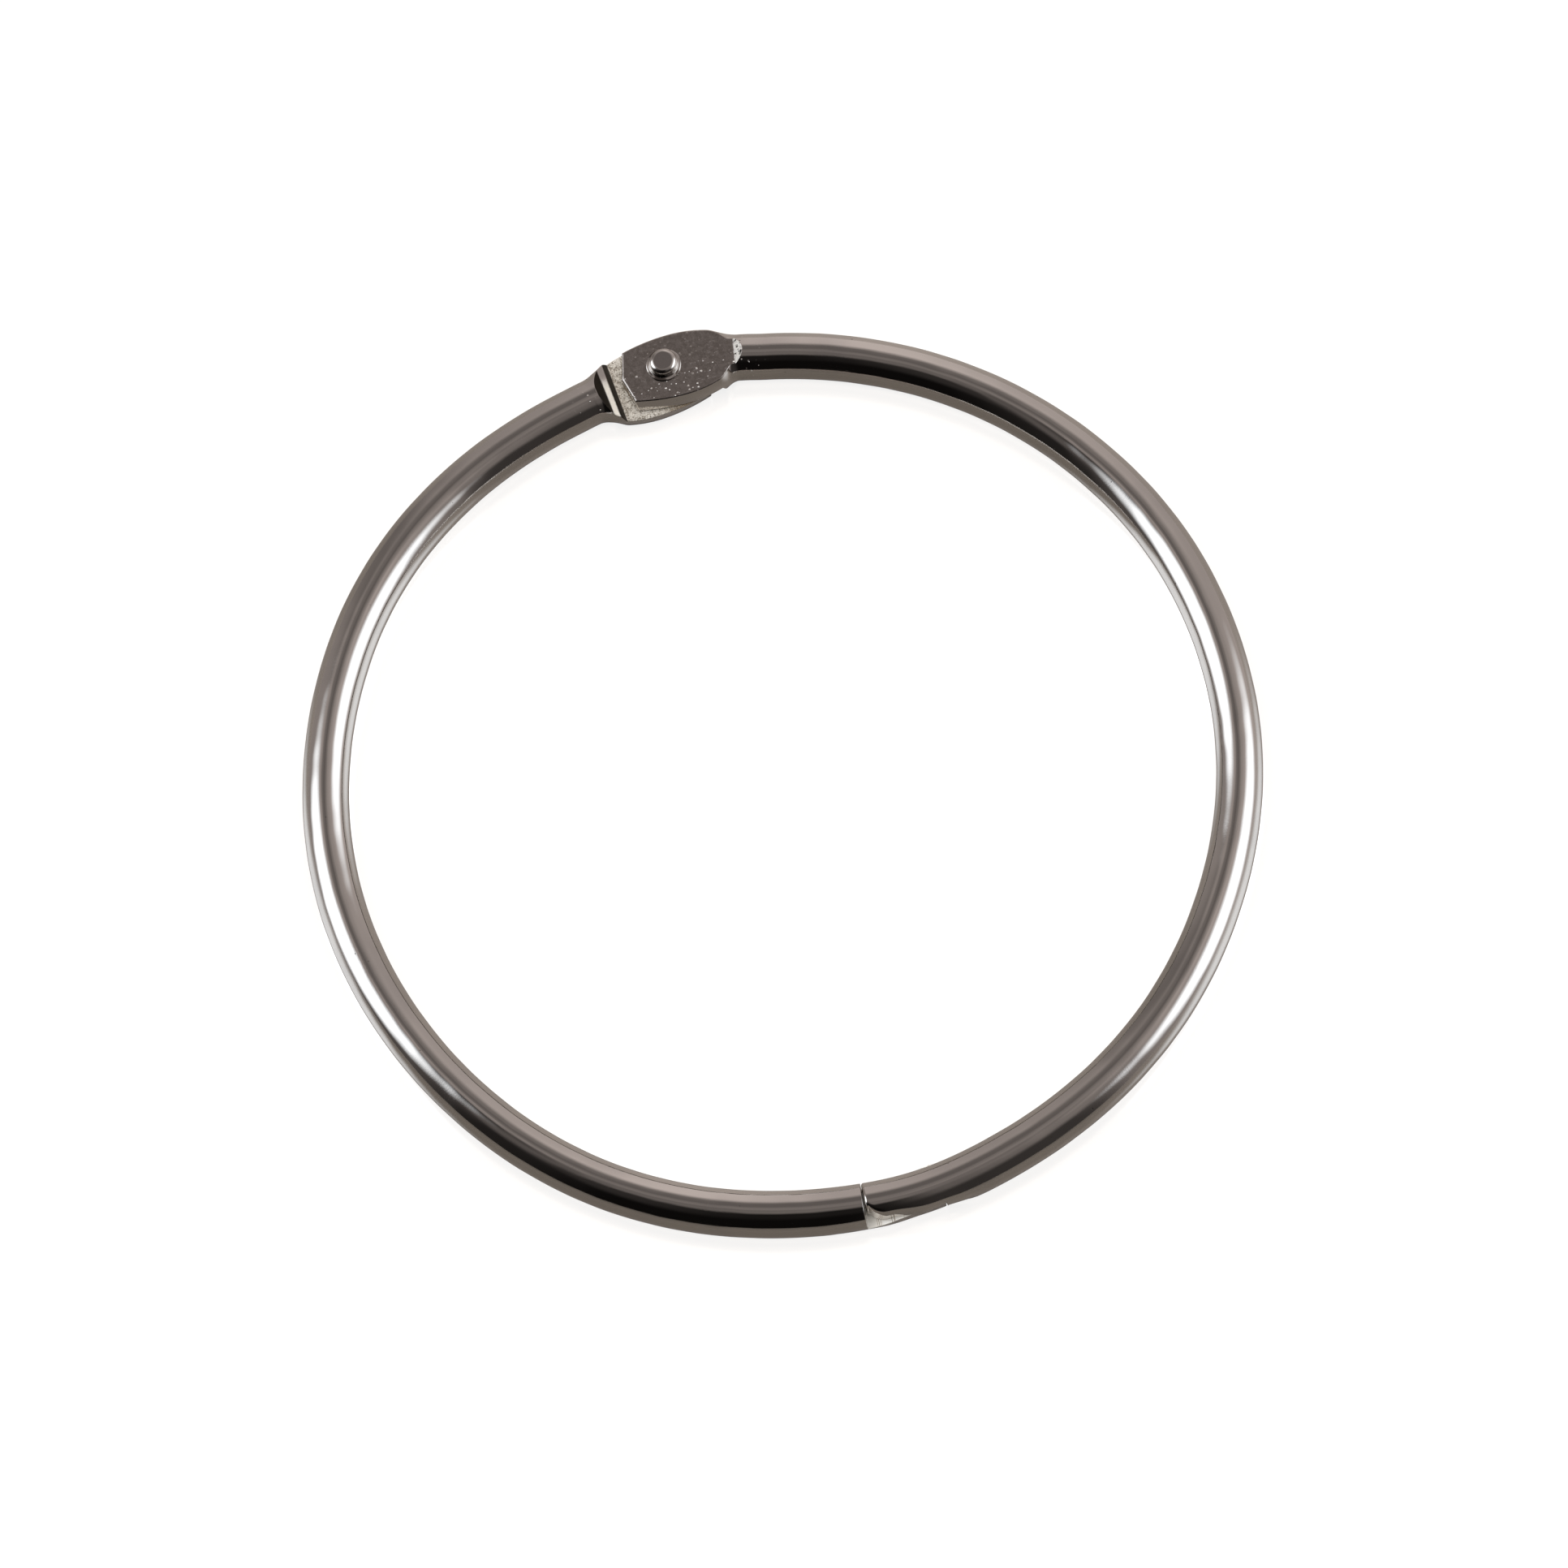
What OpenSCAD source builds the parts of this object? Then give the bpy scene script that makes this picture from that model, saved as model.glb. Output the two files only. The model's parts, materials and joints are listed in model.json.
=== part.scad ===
// Hinged binder ring: two half rings of round wire, joined by a rivet at the top
// and by a snap catch at the bottom. The ring lies flat in XY, the hinge is on +Y,
// the catch on -Y, +Z is the rivet's axis, and the origin is the ring's centre.

/* [Ring] */
// Clear inside diameter, the ring's nominal size
inside_d = 76; // [50:1:110]
// Wire diameter
wire_d = 4.1; // [3.6:0.1:4.8]

/* [Hinge] */
// Widest part of the pressed eye, at the wire's mid-plane
eye_w = 6.8; // [6.2:0.1:7.6]
// From the rivet to that widest part, towards the wire
eye_ahead = 1.2; // [0.8:0.1:1.6]
// Thickness of each eye
eye_t = 1.67; // [1.3:0.01:1.7]
// Radius of the eye's sides towards its point, seen from above
eye_tip_r = 19; // [15:0.5:25]
// Radius of the eye's sides towards the wire
eye_neck_r = 10; // [9:0.5:14]
// From the rivet to the point of the eye
eye_reach = 3.95; // [3.4:0.05:4.2]
// Angle of each side of that point, off square
tip_slope = 14; // [5:1:20]
// From the rivet to the far end of the eye's outer flat
flat_l = 6.62; // [6.2:0.02:7.2]
// Length of the ramp from the outer flat to the round wire
flat_ramp = 0.5; // [0.3:0.05:0.8]
// From the rivet to the foot of the shoulder that faces the other half's eye
hinge_step = 4.8; // [4.7:0.05:5.4]
// Length of the shoulder's lower ramp
low_run = 0.5; // [0.3:0.05:0.7]
// Length of the ledge above that ramp
ledge_l = 0.5; // [0.3:0.05:0.7]
// Height of the ledge above the wire's mid-plane
ledge_z = 1.07; // [0.8:0.01:1.3]
// How far the ledge slopes down towards the eye
ledge_drop = 0.08; // [0.02:0.01:0.15]
// Length of the upper ramp, from the ledge to the top of the wire
high_run = 0.75; // [0.5:0.05:1]
// Rivet shank diameter
rivet_d = 1.9; // [1.4:0.1:2.2]
// Diameter of the set head, on top
head_d = 2.5; // [2.3:0.1:3.2]
// Diameter of the collar round the set head, and of the low head below
collar_d = 3.1; // [2.8:0.1:3.8]
// Thickness of that collar
collar_t = 0.12; // [0.08:0.01:0.2]
// How far the set head stands above the eye
head_h = 1.1; // [0.6:0.05:1.4]
// Radius of the set head's edge
head_edge_r = 0.45; // [0.2:0.05:0.5]

/* [Catch] */
// Length of the two catch tongues' overlap, shoulder to shoulder
lap_l = 6.8; // [6:0.1:8]
// Height of the hooked lip at the end of each tongue
lip_h = 0.5; // [0.2:0.02:0.6]
// Length of the lip's flat top
lip_l = 0.35; // [0.3:0.05:0.5]
// Length of the ramp up to the lip
hook_ramp = 1.9; // [1:0.1:2]
// Radius of each tongue's outer corner
nose_r = 2.17; // [1.6:0.05:2.6]
// How much narrower than the wire each tongue is at that corner
nose_in = 0.33; // [0.1:0.01:0.5]

/* [Fits] */
// Rivet shank in each eye, on the radius
shank_gap = 0.05; // [0.02:0.01:0.1]
// Between the two halves' flat faces
face_gap = 0.06; // [0.04:0.01:0.12]
// Between the set head and the eye that turns under it
head_gap = 0.02; // [0.01:0.01:0.05]
// Between a tongue's end and the shoulder that it meets
end_gap = 0.3; // [0.2:0.05:0.4]

/* [Hidden] */
$fn = 96;

wire_r = wire_d / 2;
ring_r = inside_d / 2 + wire_r;         // wire centreline
half_gap = face_gap / 2;
eye_z = half_gap + eye_t;               // outer flat of each eye
eye_in = pow(flat_l, 2) / (4 * ring_r); // the straight eye lies this far inside the ring's line
step_turn = asin(hinge_step / ring_r);  // the shoulder is square to the wire there
flat_turn = asin(flat_l / ring_r);
lap_half = lap_l / 2;
tip_s = lap_half - end_gap;             // end of each catch tongue past the catch line
low_head_h = wire_r - eye_z;            // keeps the rivet level with the wire's underside
big = 4 * wire_d;

// Left half, on -X: its eye is the lower one of the hinge and its tongue the lower
// one of the catch. The right half is the same piece turned over about Y.
module half_ring() {
    difference() {
        union() {
            rotate([0, 0, 90]) arc(180 + asin(tip_s / ring_r));
            eye_body();
        }
        hinge_shoulder();
        outer_flat();
        eye_point();
        translate([0, ring_r, 0]) cylinder(d = rivet_d + 2 * shank_gap, h = big, center = true);
        catch_step();
        nose_outline();
    }
}

// Round wire from +X through this many degrees
module arc(angle)
    rotate_extrude(angle = angle) translate([ring_r, 0]) circle(r = wire_r);

// Wire end swelled into a barrel along X, whose sides end a little above the ledge
module eye_body()
    intersection() {
        translate([-eye_ahead, ring_r - eye_in, 0]) rotate([0, 90, 0])
            rotate_extrude() {
                eye_side(eye_tip_r, 0);
                eye_side(eye_neck_r, -big);
            }
        translate([-big, ring_r - big, -big]) cube([2 * big, 2 * big, big + ledge_z + ledge_drop]);
    }

// Half of the barrel's outline, with Y along the wire towards the eye's point
module eye_side(side_r, from)
    intersection() {
        translate([eye_w / 2 - side_r, 0]) circle(r = side_r);
        translate([0, from]) square([big, big]);
    }

// Cuts a side-on profile, [along the wire from here towards the eye, height], right across it
module cut_across(turn, profile)
    rotate([0, 0, turn]) translate([0, ring_r, 0]) rotate([90, 0, 0])
        linear_extrude(height = big, center = true) polygon(profile);

// Room for the other half's eye, up a shoulder of two ramps with a ledge between
module hinge_shoulder()
    cut_across(step_turn, [
        [0, -half_gap], [-low_run, ledge_z - ledge_drop], [-low_run - ledge_l, ledge_z],
        [-low_run - ledge_l - high_run, wire_r + 0.05], [-low_run - ledge_l - high_run, big],
        [big, big], [big, -half_gap]
    ]);

module outer_flat()
    cut_across(flat_turn, [
        [0, -eye_z], [-flat_ramp, -wire_r - 0.02], [-flat_ramp, -big], [big, -big], [big, -eye_z]
    ]);

module eye_point()
    translate([0, ring_r - eye_in, 0]) linear_extrude(height = big, center = true)
        polygon([
            [eye_reach, 0], [eye_reach - wire_d * tan(tip_slope), wire_d], [big, wire_d],
            [big, -wire_d], [eye_reach - wire_d * tan(tip_slope), -wire_d]
        ]);

// Room for the other half's catch tongue: a square shoulder, a groove, a ramp out of it,
// the flat lap face, and the ramp up to this tongue's own lip. Here +X runs to the tip.
module catch_step()
    translate([0, -ring_r, 0]) rotate([90, 0, 0]) linear_extrude(height = big, center = true)
        polygon([
            [-lap_half, big], [-lap_half, -half_gap - lip_h],
            [-tip_s + lip_l + half_gap, -half_gap - lip_h],
            [-tip_s + lip_l + hook_ramp + half_gap, -half_gap],
            [tip_s - lip_l - hook_ramp + half_gap, -half_gap],
            [tip_s - lip_l + half_gap, lip_h - half_gap],
            [big, lip_h - half_gap], [big, big]
        ]);

// The tongue's outline on the ring's outer side: it narrows slightly along its length, and
// its corner is rounded
module nose_outline()
    translate([0, -ring_r - wire_r + nose_in, 0])
        linear_extrude(height = 2 * wire_r + 1, center = true) {
            translate([tip_s - nose_r, 0]) difference() {
                translate([0, -wire_r]) square([nose_r + 1, nose_r + wire_r]);
                translate([0, nose_r]) circle(r = nose_r);
            }
            polygon([[-lap_half, -nose_in], [tip_s - nose_r, 0], [tip_s - nose_r, -wire_r], [-lap_half, -wire_r]]);
        }

module left_half()
    color([0.72, 0.70, 0.67]) half_ring();

module right_half()
    color([0.76, 0.74, 0.71]) rotate([0, 180, 0]) half_ring();

// Shank, low head below, collar and set head above
module rivet()
    color([0.66, 0.64, 0.62]) translate([0, ring_r, 0]) rotate_extrude() {
        foot = eye_z + head_gap;
        side_h = head_h - head_edge_r;
        translate([0, -wire_r]) square([collar_d / 2, low_head_h]);
        translate([0, -wire_r]) square([rivet_d / 2, wire_r + foot + side_h]);
        translate([0, foot]) square([collar_d / 2, collar_t]);
        translate([0, foot]) square([head_d / 2, side_h]);
        translate([0, foot]) square([head_d / 2 - head_edge_r, head_h]);
        intersection() {
            translate([head_d / 2 - head_edge_r, foot + side_h]) circle(r = head_edge_r);
            translate([0, foot]) square([head_d, head_h]);
        }
    }

left_half();
right_half();
rivet();
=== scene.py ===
# Hinged binder ring of nickel-plated wire, closed and lying flat on a pale floor.
# Every size below is in millimetres and becomes metres when a mesh is made.
import json
import math

import bmesh
import bpy
import numpy as np
from mathutils import Matrix, Vector


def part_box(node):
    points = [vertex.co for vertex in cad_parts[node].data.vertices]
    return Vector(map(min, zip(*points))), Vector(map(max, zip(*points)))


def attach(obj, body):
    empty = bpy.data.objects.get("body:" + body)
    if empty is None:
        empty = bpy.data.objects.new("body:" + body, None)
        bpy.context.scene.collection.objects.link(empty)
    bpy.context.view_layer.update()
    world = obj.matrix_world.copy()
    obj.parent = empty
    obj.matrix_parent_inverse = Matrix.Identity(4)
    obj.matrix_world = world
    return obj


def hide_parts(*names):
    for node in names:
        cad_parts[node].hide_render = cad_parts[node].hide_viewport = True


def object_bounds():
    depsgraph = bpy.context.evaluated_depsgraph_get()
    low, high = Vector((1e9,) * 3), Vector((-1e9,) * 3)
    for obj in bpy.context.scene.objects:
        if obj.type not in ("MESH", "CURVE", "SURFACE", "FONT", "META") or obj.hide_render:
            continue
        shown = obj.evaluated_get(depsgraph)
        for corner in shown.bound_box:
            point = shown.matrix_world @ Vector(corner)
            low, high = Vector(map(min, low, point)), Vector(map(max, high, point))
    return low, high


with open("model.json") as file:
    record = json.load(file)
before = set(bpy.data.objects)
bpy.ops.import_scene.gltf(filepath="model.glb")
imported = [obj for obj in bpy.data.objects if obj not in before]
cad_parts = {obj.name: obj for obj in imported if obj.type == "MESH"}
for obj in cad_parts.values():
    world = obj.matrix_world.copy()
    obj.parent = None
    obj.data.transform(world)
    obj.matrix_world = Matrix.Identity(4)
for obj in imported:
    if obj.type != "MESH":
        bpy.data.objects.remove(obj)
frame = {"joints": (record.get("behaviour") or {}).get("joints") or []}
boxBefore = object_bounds()

mm = 0.001
hinge = Vector(frame["joints"][0]["pos_m"]) / mm
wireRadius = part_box("right_half")[1].z / mm   # the wire's top, with its middle at z = 0
ringRadius = hinge.y                          # the wire's middle line
lowestY = boxBefore[0][1] / mm + 0.003        # just inside the solid parts
print("frame loaded: ring radius %.2f mm, wire radius %.2f mm" % (ringRadius, wireRadius))


def smoothStep(x, low, high):
    # 0 up to low, 1 from high on, and between them three times the square of the way less
    # twice its cube
    t = np.clip((x - low) / (high - low), 0, 1)
    return t * t * (3 - 2 * t)


def band(x, low, lowEnd, high, highEnd):
    # 0, rising to 1 from low to lowEnd and falling back to 0 from high to highEnd
    return smoothStep(x, low, lowEnd) * (1 - smoothStep(x, high, highEnd))


def profileAt(s, corners, blur=0.05):
    # height of a side-on profile at s: straight lines between its corners, averaged
    # over a short length so that every corner is slightly rounded
    xs, ys = np.array(corners, float).T
    steps = np.linspace(-1, 1, 7)
    total = sum(np.interp(s + blur * k, xs, ys) for k in steps)
    return total / len(steps)


def softLargest(a, b, width):
    # the larger of two values, with the place where they cross rounded over
    rounded = (a + b) / 2 + (a - b) ** 2 / (4 * width) + width / 4
    return np.where(abs(a - b) > width, np.maximum(a, b), rounded)


def packedStations(low, high, coarse, places, blend=1.2):
    # distances along the wire: coarse steps, packed closer around the places given
    # as (from, to, step). The step's inverse is summed up and read back evenly.
    s = np.arange(low, high, 0.005)
    density = np.full(len(s), 1 / coarse)
    for start, end, step in places:
        density = np.maximum(density, band(s, start - blend, start, end, end + blend) / step)
    count = np.concatenate([[0], np.cumsum((density[1:] + density[:-1]) / 2 * np.diff(s))])
    return np.interp(np.linspace(0, count[-1], int(count[-1]) + 1), count, s)


def gridObject(name, points, attributes):
    # points is rows x columns x 3, each row a closed outline, the first and last rows
    # shrunk to a point. Quads join neighbours; doubled points are merged.
    rows, columns = points.shape[:2]
    index = np.arange(rows * columns).reshape(rows, columns)
    ahead = np.roll(index, -1, axis=1)
    faces = np.stack([index[:-1], ahead[:-1], ahead[1:], index[1:]], axis=-1).reshape(-1, 4)
    mesh = bpy.data.meshes.new(name)
    mesh.from_pydata((points.reshape(-1, 3) * mm).tolist(), [], faces.tolist())
    for key, value in attributes.items():
        kind, socket = ("FLOAT_VECTOR", "vector") if value.ndim == 3 else ("FLOAT", "value")
        layer = mesh.attributes.new(key, kind, "POINT")
        layer.data.foreach_set(socket, value.astype(np.float32).ravel())
    work = bmesh.new()
    work.from_mesh(mesh)
    bmesh.ops.remove_doubles(work, verts=work.verts, dist=2e-6)
    bmesh.ops.dissolve_degenerate(work, edges=work.edges, dist=1e-7)
    bmesh.ops.recalc_face_normals(work, faces=work.faces)
    work.to_mesh(mesh)
    work.free()
    mesh.shade_smooth()
    piece = bpy.data.objects.new(name, mesh)
    bpy.context.scene.collection.objects.link(piece)
    return piece


halfRing = {
    # the pressed eye: a barrel with round sides and a blunt point
    "eyeThick": 1.67, "eyeReach": 3.95, "widestAt": 1.2, "tipSideRadius": 19,
    "tipSlope": 14, "tipSlopeOver": 2.6, "neckLength": 9.5, "barrelBlend": 0.25,
    "roundAgain": (4.4, 6.0),         # the eye's taller section runs back to a circle here
    "faceGap": 0.06, "bore": 2.0,
    "shoulder": [(4.66, 0), (5.12, 0.98), (5.66, 1.12), (6.56, 2.2)],   # height over the mating flat
    "bowedFrom": (4.8, 5.4), "bowedTo": (6.3, 6.9),
    "flatEnd": (6.45, 7.12),          # the outer flat rises to the round wire here
    # the catch: a tongue with a hooked lip, and a groove for the other one's lip
    "lap": 6.8, "lip": 0.6, "endGap": 0.03, "lipFlat": 0.35, "hookRamp": 1.9,
    "groove": 0.75, "grooveRamp": 2.42, "noseSoft": 0.35,
    # edge radii
    "edgeRound": 0.16, "lapRound": 0.07, "pointRound": 0.24,
    # points round a section, and steps along the wire
    "aroundFlat": 15, "aroundSide": 40, "aroundCorner": 5, "aroundNose": 26, "coarse": 0.55,
    "dense": [(-3.95, -3.0, 0.08), (-3.0, 7.2, 0.2), (4.6, 7.3, 0.045),
              (122.2, 129.2, 0.09), (122.3, 122.6, 0.02)],
}


def outline(radius, stretch, top, bottom, wall, rounding, spec):
    # A round section, stretched upwards where the eye is pressed, and cut by a top flat,
    # a bottom flat and an outer wall. All are set in by the edge radius and the outline
    # is grown back by it, so that every edge is rounded. Returns the set-in points
    # (n outward, z up), the angle of their normals, and which part each belongs to.
    nFlat, nSide, nCorner = spec["aroundFlat"], spec["aroundSide"], spec["aroundCorner"]
    r, b, w = radius - rounding, radius * stretch - rounding, wall - rounding
    reach = b * np.sqrt(np.maximum(1 - (np.minimum(w, 0) / r) ** 2, 0))
    angleHigh = np.arcsin(np.clip(top - rounding, -b, reach) / b)
    angleLow = np.arcsin(np.clip(bottom + rounding, -reach, b) / b)
    # a side runs from its upper angle through a fixed one near the middle to its lower one, so that
    # its lower columns stay where they are when a shoulder cuts the top away
    nUpper = nSide * 2 // 5
    angleMiddle = np.clip(-0.13, angleLow, angleHigh)
    upperShare = np.concatenate([1 - np.arange(nUpper) / nUpper, np.zeros(nSide - nUpper)])
    lowerShare = np.concatenate([np.zeros(nUpper), np.linspace(0, 1, nSide - nUpper)])
    middleShare = 1 - upperShare - lowerShare
    flat = np.concatenate([[-1], np.linspace(-0.985, 0.985, nFlat - 2), [1]])
    corner = np.arange(1, nCorner + 1) / (nCorner + 1)

    def pointAt(angle, cols, outer):
        # the point of the round section at this angle, held back by the wall on the outer side
        n, z = r[:, cols] * np.cos(angle), b[:, cols] * np.sin(angle)
        return (-softLargest(-n, -w[:, cols], spec["noseSoft"]) if outer else n), z

    def turnAt(angle, cols, outer):
        # the angle of the normal there, square to the step between two points close by
        ahead, behind = pointAt(angle + 0.001, cols, outer), pointAt(angle - 0.001, cols, outer)
        return np.arctan2(behind[0] - ahead[0], ahead[1] - behind[1])

    order = ("top", "topOuter", "outer", "bottomOuter", "bottom", "bottomInner", "inner", "topInner")
    counts = {"top": nFlat, "bottom": nFlat, "outer": nSide, "inner": nSide}
    parts = []
    place = 0
    for number, part in enumerate(order):
        count = counts.get(part, nCorner)
        cols = slice(place, place + count)
        place += count
        high, low = angleHigh[:, cols], angleLow[:, cols]
        if part in ("top", "bottom"):
            angle, sign = (high, 1) if part == "top" else (low, -1)
            n1, z = pointAt(angle, cols, True)
            n0 = pointAt(math.pi - angle, cols, False)[0]
            n, turn = (n0 + n1) / 2 + sign * flat * (n1 - n0) / 2, sign * math.pi / 2 + 0 * n1
        elif part in ("outer", "inner"):
            outer = part == "outer"
            angle = upperShare * high + lowerShare * low + middleShare * angleMiddle[:, cols]
            angle = angle if outer else math.pi - angle[:, ::-1]
            (n, z), turn = pointAt(angle, cols, outer), turnAt(angle, cols, outer)
        else:
            outer, upper = part.endswith("Outer"), part.startswith("top")
            angle = high if upper else low
            angle = angle if outer else math.pi - angle
            (n, z), turn = pointAt(angle, cols, outer), turnAt(angle, cols, outer)
            turn = np.where(turn < 0, turn + 2 * math.pi, turn) if not outer else turn
            facing = math.pi / 2 if upper else (-math.pi / 2 if outer else 1.5 * math.pi)
            share = corner if part in ("bottomOuter", "topInner") else 1 - corner
            turn = turn + share * (facing - turn)
        parts.append((n + 0 * turn, z + 0 * turn, turn, number + 0 * turn))
    return [np.concatenate(group, axis=1) for group in zip(*parts)]


def wireLine(s, own):
    # The wire's middle line, s measured from the rivet along the ring: a straight eye
    # (in polar form, so that it shares the angle s / R) that blends into a circle with
    # a slow sway, because the ring was bent by a forming tool.
    angle = s / ringRadius
    fromHinge = np.degrees(angle)
    lean = np.cos(angle) + own["eyeTilt"] * np.sin(angle)
    straight = (ringRadius - own["eyeInside"]) / lean - ringRadius
    sway = sum(height * np.exp(-((fromHinge - middle) / width) ** 2)
               for middle, width, height in own["sway"])
    radius = ringRadius + (straight + (sway - straight) * smoothStep(s, *own["eyeToWire"]))
    return np.stack([-radius * np.sin(angle), radius * np.cos(angle)], axis=-1)


def formingMarks(part, along, spec, lapEnd):
    # what the forming tools left where: 1 on a surface, 0 elsewhere
    isTop, isBottom = (part < 2) | (part > 6.5), (part > 2.5) & (part < 5.5)
    foot1, ledge0, ledge1, top1 = (x for x, h in spec["shoulder"])
    flat0, flat1 = spec["flatEnd"]
    return {
        "outerFlat": isBottom * (1 - smoothStep(along, flat0 - 0.05, flat0 + 0.05)),
        "flatStep": isBottom * band(along, flat0 - 0.15, flat0, flat1 - 0.12, flat1 - 0.02),
        "innerFlat": isTop * (1 - smoothStep(along, foot1 - 0.05, foot1 + 0.05)),
        "lowRamp": isTop * band(along, foot1 - 0.04, foot1 + 0.04, ledge0 - 0.04, ledge0 + 0.06),
        "ledge": isTop * band(along, ledge0 - 0.02, ledge0 + 0.10, ledge1 - 0.08, ledge1 + 0.02),
        "highRamp": isTop * band(along, ledge1 - 0.04, ledge1 + 0.06, top1 - 0.13, top1 + 0.07),
        "scarf": isTop * smoothStep(along, lapEnd, lapEnd + 0.1),
    }


def makeHalf(name, spec, own, turnedOver):
    # A section of the wire is carried along its middle line from the eye's point to the
    # tongue's end; its radius, its flats and its outer wall are profiles of the distance s.
    gap = spec["faceGap"] / 2
    eyeLow = -gap - spec["eyeThick"]
    catchAt = math.pi * ringRadius               # the catch line, along the wire
    start, end = -spec["eyeReach"], catchAt + (spec["lap"] / 2 - spec["endGap"])
    roundStart, roundEnd = spec["pointRound"], own["noseRound"]
    lapEnd = catchAt - spec["lap"] / 2
    noseFrom = end - own["noseLength"]

    # side-on profiles, as (distance from the rivet along the wire, height); a height of 9 cuts nothing
    rise = [(start - 9, -gap)] + [(x, h - gap) for x, h in spec["shoulder"]] + [(8, 9)]
    lipFrom = end - spec["lipFlat"] + gap
    scarf = [(lapEnd - 0.4, 9), (lapEnd - 0.04, 2.2), (lapEnd, -gap - spec["groove"]),
             (lapEnd + spec["grooveRamp"], -gap), (lipFrom - spec["hookRamp"], -gap),
             (lipFrom, spec["lip"] - gap), (end + 9, spec["lip"] - gap)]
    flat0, flat1 = spec["flatEnd"]
    under = [(start - 9, eyeLow), (flat0, eyeLow), (flat1, -wireRadius - 0.02), (flat1 + 0.6, -9)]

    def roundingAt(s):
        # the edge radius goes from the point's to the eye's, the lap's and the tongue end's
        near = roundStart + (spec["edgeRound"] - roundStart) * smoothStep(s, start + 0.2, start + 1)
        near = near + (spec["lapRound"] - spec["edgeRound"]) * smoothStep(s, lapEnd - 1, lapEnd)
        return near + (roundEnd - spec["lapRound"]) * smoothStep(s, end - 1.3, end - 0.3)

    def sectionAt(s):
        # the eye is a barrel: two circular sides, one towards the point, one towards the wire
        u = s - spec["widestAt"]
        tipRadius, neckRadius = spec["tipSideRadius"], own["neckSideRadius"]
        towardsTip = np.sqrt(tipRadius ** 2 - np.minimum(u, 0) ** 2) - tipRadius
        towardsWire = np.sqrt(neckRadius ** 2 - np.clip(u, 0, spec["neckLength"]) ** 2) - neckRadius
        barrel = own["eyeWidth"] / 2 + towardsTip + towardsWire
        radius = softLargest(barrel, np.full_like(s, wireRadius), spec["barrelBlend"])
        roundAgain = smoothStep(s, *spec["roundAgain"])
        stretch = own["eyeStretch"] + (wireRadius / radius - own["eyeStretch"]) * roundAgain
        top = np.where(s < 60, profileAt(s, rise), profileAt(s, scarf))
        # the outer side is pressed in from behind the shoulder on, and rounded at the nose
        slope = smoothStep(s, catchAt - 2.2, catchAt + 1.2)
        pressed = own["narrowAtLap"] * smoothStep(s, lapEnd - 2.4, lapEnd + 0.5)
        straight = wireRadius - pressed - (own["narrowAtNose"] - own["narrowAtLap"]) * slope
        across = np.clip((s - noseFrom) / own["noseLength"], 0, 1)
        bend = wireRadius - own["narrowAtNose"] - own["noseWidth"] * (1 - np.sqrt(1 - across ** 2))
        away = 2 * (1 - smoothStep(s, lapEnd - 6, lapEnd - 2.4))      # no wall before the lap
        wall = np.where(s < noseFrom, straight, bend) + away
        return outline(radius, stretch, top, profileAt(s, under), wall, roundingAt(s), spec)

    stations = packedStations(start + roundStart, end - roundEnd, spec["coarse"], spec["dense"])
    sweep = np.linspace(0, 1, spec["aroundNose"])[1:]
    nose = noseFrom + (end - roundEnd - noseFrom) * np.sin(sweep * math.pi / 2)
    stations = np.concatenate([stations[stations < noseFrom], nose])

    # the end faces: the last outline swings round the edge radius, then shrinks to its middle
    swing = np.linspace(0, math.pi / 2, 9)[1:]
    shrink = np.array([0.03, 0.3, 0.6, 0.8, 1.0])
    count = len(stations)
    added = len(swing) + len(shrink)
    sRow = np.concatenate([np.full(added, stations[0]), stations, np.full(added, stations[-1])])
    square = np.full(len(shrink), math.pi / 2)
    endTurn = np.concatenate([square, swing[::-1], np.zeros(count), swing, square])[:, None]
    endShrink = np.concatenate([shrink[::-1], np.zeros(count + 2 * len(swing)), shrink])[:, None]
    endSide = np.concatenate([-np.ones(added), np.zeros(count), np.ones(added)])[:, None]

    around = 2 * spec["aroundFlat"] + 2 * spec["aroundSide"] + 4 * spec["aroundCorner"]
    s = np.repeat(sRow[:, None], around, axis=1)
    # the eye's point: a point lies further back the further it is from the middle, and its
    # section is read at the place where it comes to lie, so this is repeated until it settles
    vee = math.tan(math.radians(spec["tipSlope"])) * (1 - smoothStep(s, start, start + spec["tipSlopeOver"]))
    along = s.copy()
    for _ in range(4):
        n, z, turn, part = sectionAt(along)
        along = s + np.abs(n) * vee
    middleN = np.where(s < 0, 0, (n.max(axis=1, keepdims=True) + n.min(axis=1, keepdims=True)) / 2)
    middleZ = (z.max(axis=1, keepdims=True) + z.min(axis=1, keepdims=True)) / 2
    n, z = n + (middleN - n) * endShrink, z + (middleZ - z) * endShrink
    rounding = roundingAt(along)
    along = s + np.abs(n) * vee + endSide * rounding * np.sin(endTurn)
    # one point closes each end
    along = np.where(endShrink == 1, along.mean(axis=1, keepdims=True), along)
    n = n + rounding * np.cos(turn) * np.cos(endTurn)
    z = z + rounding * np.sin(turn) * np.cos(endTurn)
    # the ledge and both ramps bow down towards the ring's inner side
    bowed = band(along, *spec["bowedFrom"], *spec["bowedTo"]) * smoothStep(z, 0.1, 0.9)
    z = z - own["ledgeBow"] * np.minimum(n - own["ledgeMiddle"], 0) ** 2 * bowed
    # slow ripples where the wire was bent
    roundIt, plain = np.arctan2(z, n), band(along, 7.5, 14, lapEnd - 6, lapEnd - 1)
    waves = (size * np.sin(rate * along + fold * roundIt + shift)
             for size, rate, fold, shift in own["ripples"])
    ripple = plain * sum(waves)
    n, z = n * (1 + ripple), z * (1 + ripple)
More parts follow.
